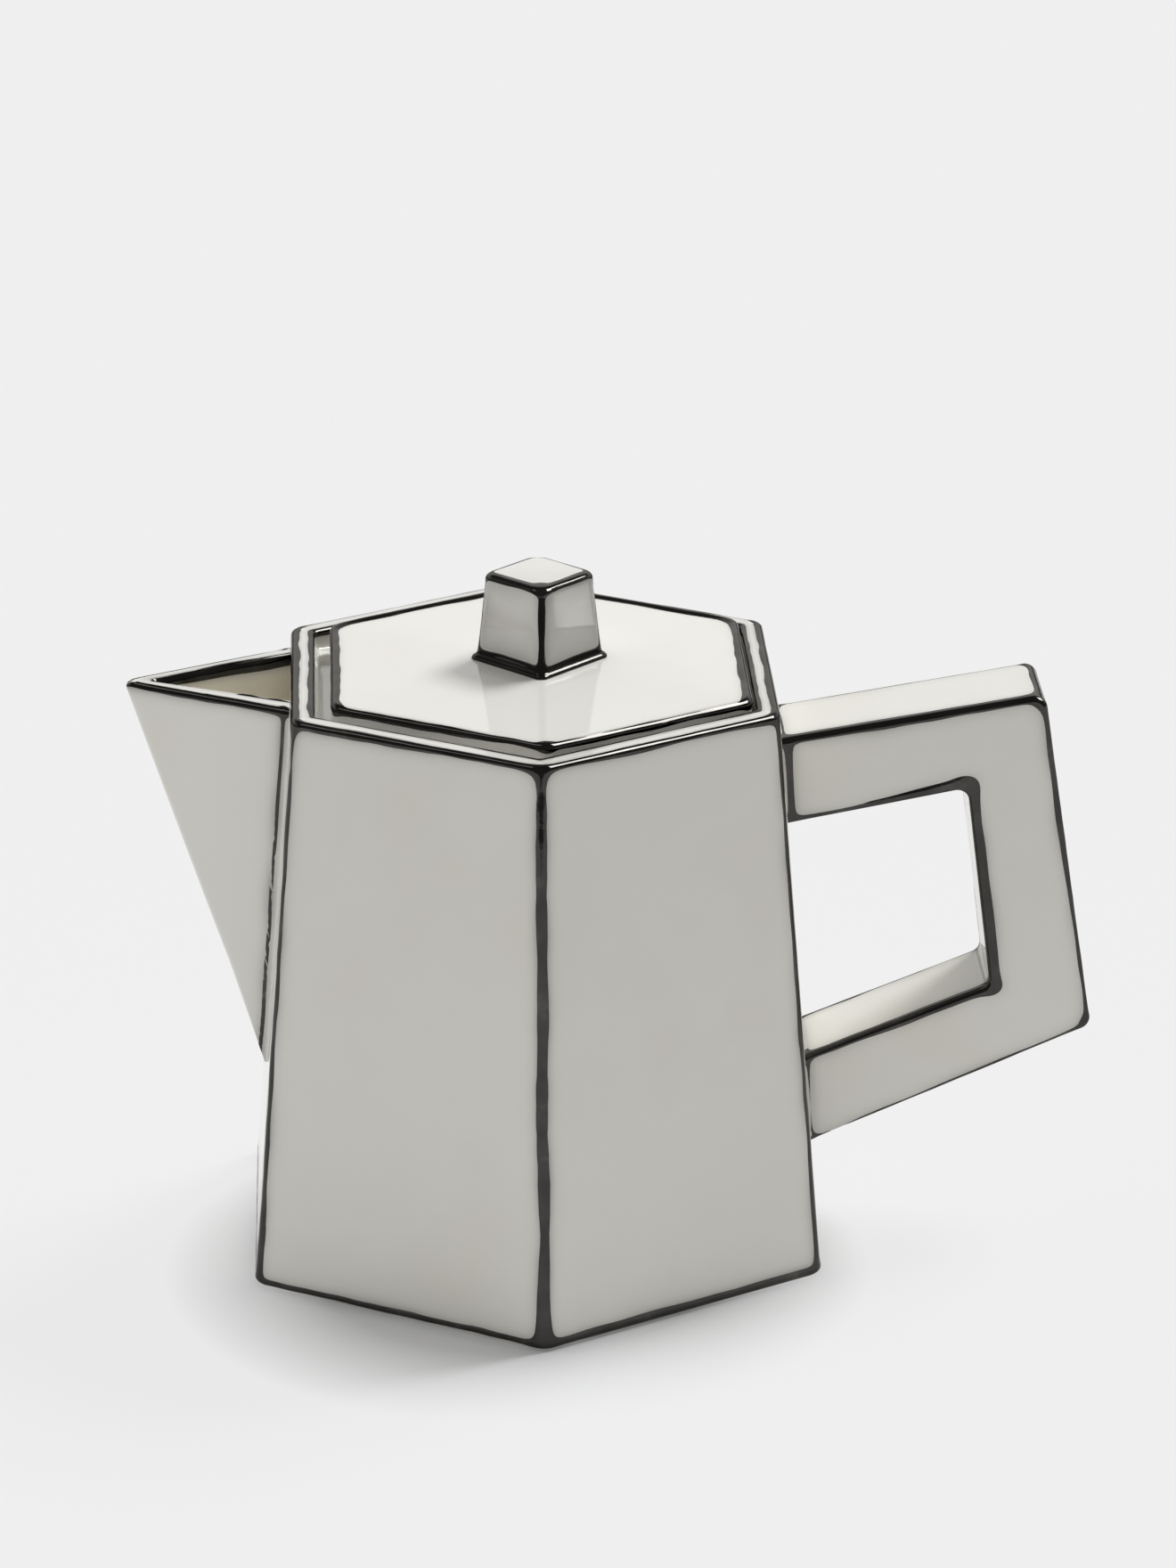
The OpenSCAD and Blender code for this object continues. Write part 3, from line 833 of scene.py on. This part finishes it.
darken_glaze(handle, handle_lines, 1.0, 0.36, handle_painted_shade)
add_piece(painted("handle_lustre", handle_verts, handle_tris, handle_lines(handle_verts), LUSTRE), "pot",
          "lustre", "handle_lines", "handle_seam_line")

# ---- Lid -----------------------------------------------------------------------------------------
LID_R = 4.2
LID_EDGE, LID_EDGE_X = LID_HALF + 0.3, LID_X - 0.3
CROWN_HALF = 17.5
# How far the lid's paint reaches along its side, back and front edges, and at its six corners from the
# front one round
LID_SIDE_REACH, LID_BACK_REACH, LID_FRONT_REACH = 1.9, 2.3, 1.0
LID_CORNER_REACH = (2.1, 1.5, 2.6, 2.6, 2.6, 1.5)


def lid_skin():
    path, plan = rounded_path(
        [(CORE, CROWN_TOP), (CROWN_HALF, CROWN_TOP), (LID_EDGE, LID_TOP), (LID_EDGE, SEAT_Z), (CORE, SEAT_Z)],
        [0, 60, 1.3, 0.8, 0], [CORE_R, LID_R, LID_R, LID_R, CORE_R],
        [(0.8, 3.5), (0.45, 3), (0.4, 0.7), (0.8, 8)])
    rings = []
    for (half, z), radius in zip(path, plan):
        flat = rounded_ring(polygon(6, half), radius, SIDE_MARKS)
        rings.append(ring_at(flat, z, LID_EDGE_X))
    return rings_skin(rings)


lid_verts, lid_tris = lid_skin()
lid = add_piece(make("lid_porcelain", lid_verts, lid_tris, GLAZE), "lid_set", "glaze", "lid")


def lid_line(points):
    """The line round the lid's edge. At the front it keeps to the edge's side."""
    p = shaken(points)
    wide = brush(points, 0.12, 19.0, 2)
    edge = hexagon(LID_EDGE, LID_TOP, LID_EDGE_X)
    front = hexagon(LID_EDGE, LID_TOP - 0.7, LID_EDGE_X)
    gaps = [to_path(p, edge[1:]) - LID_SIDE_REACH * wide, to_path(p, edge[2:5]) - LID_BACK_REACH * wide,
            to_path(p, [front[5], front[0], front[1]]) - LID_FRONT_REACH * wide]
    for corner, reach in zip(hexagon(LID_EDGE - 0.6, LID_TOP, LID_EDGE_X), LID_CORNER_REACH):
        gaps.append(np.linalg.norm(p - corner, axis=1) - reach)
    return merged(gaps, 0.7)


def lid_swell(points):
    """The lid's line is painted thicker along its two back edges."""
    return 1 + 0.7 * np.clip((points[:, 1] - 26) / 6, 0, 1)


darken_glaze(lid, lid_line, 0.6, 0.22)
add_piece(painted("lid_lustre", lid_verts, lid_tris, lid_line(lid_verts), LUSTRE, proud=0.34, soft=1.5,
                  swell=lid_swell), "lid_set", "lustre", "lid_line")


def flange_skin():
    """The locating ring under the lid. Its top runs a little into the lid."""
    low, high = FLANGE_LOW[2], SEAT_Z + 0.4
    out, inn = FLANGE_HALF, FLANGE_HALF - FLANGE_WALL
    corners = [np.array(c, float) for c in ((out, low), (out, high), (inn, high), (inn, low))]
    path = []
    for i, radius in enumerate((1.2, 0, 0, 1.2)):
        path.append(arc_at(corners[i - 1], corners[i], corners[(i + 1) % 4], radius, 6))
        a, b = path[-1][-1], corners[(i + 1) % 4]
        path.append(a + (b - a) * np.array([[0.3], [0.6]]))
    path = np.concatenate(path)
    marks = graded(45, 0.8, 5)
    rings = []
    for half, z in path:
        flat = rounded_ring(polygon(6, half), 2.6, marks, 6)
        rings.append(ring_at(flat, z, LID_X))
    return rings_skin(rings, closed=True)


add_piece(make("lid_flange_porcelain", *flange_skin(), GLAZE, 50), "lid_set", "glaze", "lid_flange")

# ---- Knob ----------------------------------------------------------------------------------------
KNOB_TOP_HALF, KNOB_BASE_HALF = 13.7 * math.sqrt(0.5), 15.1 * math.sqrt(0.5)
KNOB_FLARE_H, KNOB_FLARE_W = 2.5, 1.4 * math.sqrt(0.5)
KNOB_R, KNOB_TOP_MORE_R, BEAD_R = 1.8, 1.5, 0.75


def knob_skin():
    """The knob's skin, from under its flared foot to the middle of its gently domed top."""
    foot, sunk = KNOB_BASE_HALF + KNOB_FLARE_W, CROWN_TOP - 0.4
    start = np.array([[0.4, sunk], [5.0, sunk], [foot - 0.1, sunk]])
    turns = np.radians(np.linspace(-10, 62, 9))[:, None]
    bead = np.array([[foot - BEAD_R, CROWN_TOP + 0.15]]) + BEAD_R * np.hstack([np.cos(turns), np.sin(turns)])
    bend = np.array([KNOB_BASE_HALF + 0.05, CROWN_TOP + 1.2])
    end = np.array([KNOB_BASE_HALF, CROWN_TOP + KNOB_FLARE_H])
    t = np.linspace(0, 1, 9)[1:, None]
    flare = np.vstack([bead, bead[-1] * (1 - t) ** 2 + bend * 2 * t * (1 - t) + end * t ** 2])
    edge = (KNOB_TOP_HALF, KNOB_TOP - 0.4)
    rest, _ = rounded_path([flare[-1], edge, (2.5, KNOB_TOP), (0.3, KNOB_TOP)], [0, 1.4, 9, 0], [0, 0, 0, 0],
                           [(0.35, 1.2), (0.35, 1.0), (0.3, 0.8)])
    path = np.concatenate([start, flare, rest[1:]])
    marks = graded(15, 0.35, 1.1)
    rings = []
    for half, z in path:
        turn_r = KNOB_R + KNOB_TOP_MORE_R * np.clip((z - CROWN_TOP) / (KNOB_TOP - CROWN_TOP), 0, 1)
        flat = rounded_ring(polygon(4, half), min(turn_r, half * 0.35), marks, 7)
        rings.append(ring_at(flat, z, LID_X))
    return rings_skin(rings)


def knob_lines(points):
    """The lines round the knob's top and foot and up its four edges."""
    p = shaken(points)
    wide = brush(points, 0.08, 15.0, 4)
    foot, top = square(KNOB_BASE_HALF, CROWN_TOP), square(KNOB_TOP_HALF, KNOB_TOP)
    front = square(KNOB_TOP_HALF - 0.9, KNOB_TOP + 0.2)
    front = [front[3], front[0], front[1]]
    back = square(KNOB_TOP_HALF + 0.2, KNOB_TOP - 0.5)
    back = [back[1], back[2], back[3]]
    flare = square(KNOB_BASE_HALF + KNOB_FLARE_W * 0.5, CROWN_TOP + 1.0)
    gaps = [to_path(p, front) - 1.75 * wide, to_path(p, back) - 1.5 * wide,
            to_path(p, flare, True) - 1.8 * wide,
            np.linalg.norm(p - (front[1] + np.array([0, 2.6, 0])), axis=1) - 2.2]
    gaps += [to_segment(p, a, b) - 1.3 * wide for a, b in zip(foot, top)]
    return np.where(points[:, 2] > CROWN_TOP - 0.02, merged(gaps, 0.6), BARE)


def knob_painted_shade(points):
    """Painted shade on the knob's right side, stronger towards its top."""
    right = ((points[:, 0] - LID_X - points[:, 1]) * math.sqrt(0.5) > KNOB_TOP_HALF - 0.3)
    up = (points[:, 2] - CROWN_TOP) / (KNOB_TOP - CROWN_TOP)
    return np.where(right & (up < 0.96), 0.25 + 0.16 * up, 0)


knob_verts, knob_tris = knob_skin()
knob = add_piece(make("knob_porcelain", knob_verts, knob_tris, GLAZE, 50), "lid_set", "glaze", "knob")
# Painted shade: the knob's glaze is greyed far over its faces from its lines, and a little on its top
darken_glaze(knob, lambda points: np.where(points[:, 2] > KNOB_TOP - 0.5, -4.0, knob_lines(points)), 3.4, 0.34,
      knob_painted_shade)
add_piece(painted("knob_lustre", knob_verts, knob_tris, knob_lines(knob_verts), LUSTRE), "lid_set", "lustre",
          "knob_lines")


# ---- Floor, light and camera ---------------------------------------------------------------------
PALE = 0.871
# The floor's own colour near the pot and further off, and the distances over which it changes
FLOOR_NEAR_SHADE, FLOOR_FAR_SHADE, FLOOR_FADE = 0.78, 0.09, (0.048, 0.084)
FLOOR_CENTRE = (-0.005, -0.030, 0)
FLOOR_LIGHT = 1.05
FLOOR_FRONT, FLOOR_BACK, FLOOR_SIDE = -0.66, 4.0, 3.0
# The room as matt surfaces see it, and the darkest and brightest that a reflection shows of it
ROOM_LEFT, ROOM_RIGHT, ROOM_TOP, BACKDROP = 0.53, 0.28, 0.26, 0.74
MIRROR_DARK, MIRROR_BRIGHT = 0.14, 1.0
DAYLIGHT = (0.98, 0.99, 1.0)
GLINT_AWAY, GLINT_AIM = 2.0, (0, 0, 0.13)
CAMERA_AZIMUTH, CAMERA_ELEVATION, CAMERA_DISTANCE = 2.45, 20.95, 1454.25
CAMERA_AIM, CAMERA_LENS = (13.33, 0, 111.09), 141.0


def stage_floor():
    """A pale light table: it glows more away from the pot, so that its shadow stays close to it."""
    material, tree, shader = nodes_of("pale_floor")
    place = add(tree, "ShaderNodeTexCoord").outputs["Object"]
    away = add(tree, "ShaderNodeVectorMath", {0: place, 1: FLOOR_CENTRE}, operation="DISTANCE")
    away = away.outputs["Value"]
    near, far = FLOOR_NEAR_SHADE, FLOOR_FAR_SHADE
    tree.links.new(spread(tree, away, near, far, *FLOOR_FADE), shader.inputs["Base Color"])
    tree.links.new(spread(tree, away, PALE - near * FLOOR_LIGHT, PALE - far * FLOOR_LIGHT, *FLOOR_FADE),
                   shader.inputs["Emission Strength"])
    shader.inputs["Roughness"].default_value = 0.9
    shader.inputs["Specular IOR Level"].default_value = 0.0
    shader.inputs["Emission Color"].default_value = (1, 1, 1, 1)
    mesh = bpy.data.meshes.new("floor")
    corners = [(-FLOOR_SIDE, FLOOR_FRONT), (FLOOR_SIDE, FLOOR_FRONT), (FLOOR_SIDE, FLOOR_BACK),
               (-FLOOR_SIDE, FLOOR_BACK)]
    mesh.from_pydata([(*corner, 0) for corner in corners], [], [(0, 1, 2, 3)])
    mesh.materials.append(material)
    floor = bpy.data.objects.new("floor", mesh)
    bpy.context.scene.collection.objects.link(floor)


def sun(name, direction, strength, angle):
    """Soft light from the given direction, which reflections don't see."""
    light = bpy.data.lights.new(name, "SUN")
    light.energy = strength
    light.angle = math.radians(angle)
    light.color = DAYLIGHT
    lamp = bpy.data.objects.new(name, light)
    lamp.rotation_euler = Vector(direction).to_track_quat("Z", "Y").to_euler()
    lamp.visible_glossy = False
    bpy.context.scene.collection.objects.link(lamp)


def glint(name, direction, up, width, height, radiance):
    """A rectangular source that only reflections see. Its sizes are angles in degrees."""
    light = bpy.data.lights.new(name, "AREA")
    light.shape = "RECTANGLE"
    light.size = 2 * GLINT_AWAY * math.tan(math.radians(width / 2))
    light.size_y = 2 * GLINT_AWAY * math.tan(math.radians(height / 2))
    light.energy = radiance * math.pi * light.size * light.size_y
    lamp = bpy.data.objects.new(name, light)
    z_axis = Vector(direction).normalized()
    x_axis = Vector(up).cross(z_axis).normalized()
    y_axis = z_axis.cross(x_axis)
    lamp.matrix_world = Matrix((x_axis, y_axis, z_axis)).transposed().to_4x4()
    lamp.location = z_axis * GLINT_AWAY + Vector(GLINT_AIM)
    lamp.visible_diffuse = False
    lamp.visible_camera = False
    bpy.context.scene.collection.objects.link(lamp)


def studio():
    """Soft light from above and behind, a pale backdrop, and a dimmer room in front."""
    world = bpy.data.worlds.new("studio")
    bpy.context.scene.world = world
    world.use_nodes = True
    tree = world.node_tree
    background = tree.nodes["Background"]
    place = add(tree, "ShaderNodeTexCoord").outputs["Generated"]
    split = add(tree, "ShaderNodeSeparateXYZ", {"Vector": place})

    def part(factor, low, high):
        node = add(tree, "ShaderNodeMix", {"Factor": factor, "A": low, "B": high}, data_type="FLOAT")
        return node.outputs["Result"]

    behind = spread(tree, split.outputs["Y"], 0.0, 1.0, -0.15, 0.45)
    low = spread(tree, split.outputs["Z"], 1.0, 0.0, 0.55, 0.85)
    glow = product(tree, behind, low)
    left = spread(tree, split.outputs["X"], ROOM_LEFT, ROOM_RIGHT, -0.7, 0.7)
    zenith = spread(tree, split.outputs["Z"], 0.0, 1.0, 0.35, 0.95)
    room = part(glow, part(zenith, left, ROOM_TOP), BACKDROP)
    low = spread(tree, split.outputs["Z"], 1.0, 0.0, 0.42, 0.66)
    glow = product(tree, behind, low)
    above = spread(tree, split.outputs["Z"], 0.0, 1.0, 0.06, 0.24)
    glow = product(tree, glow, above)
    mirrored = part(glow, MIRROR_DARK, MIRROR_BRIGHT)
    rays = add(tree, "ShaderNodeLightPath")
    seen = part(rays.outputs["Is Camera Ray"], part(rays.outputs["Is Glossy Ray"], room, mirrored), PALE)
    tree.links.new(seen, background.inputs["Strength"])
    background.inputs["Color"].default_value = (1, 1, 1, 1)
    sun("key", (0.48, 0.38, 0.80), 2.2, 20)
    sun("top_left", (-0.40, 0.20, 0.90), 0.12, 30)
    glint("right_window", (0.66, 0.06, 0.75), (-0.39, 0.68, 0.36), 26, 34, 17.0)
    glint("left_window", (-0.553, -0.093, 0.827), (0.2, 0.7, 0.3), 16, 12, 2.0)


def camera():
    """The photograph's view, from the front and a little above."""
    azimuth, elevation = math.radians(CAMERA_AZIMUTH), math.radians(CAMERA_ELEVATION)
    middle = np.array(CAMERA_AIM)
    back = np.array([-math.sin(azimuth) * math.cos(elevation), -math.cos(azimuth) * math.cos(elevation),
                     math.sin(elevation)])
    data = bpy.data.cameras.new("camera")
    data.sensor_fit = "VERTICAL"
    data.sensor_height = 36
    data.lens = CAMERA_LENS
    data.clip_end = 50
    eye = bpy.data.objects.new("camera", data)
    eye.location = Vector((middle + back * CAMERA_DISTANCE) * MM)
    eye.rotation_euler = Vector(back).to_track_quat("Z", "Y").to_euler()
    bpy.context.scene.collection.objects.link(eye)
    bpy.context.scene.camera = eye


stage_floor()
studio()
camera()
bpy.context.scene.view_settings.view_transform = "Standard"
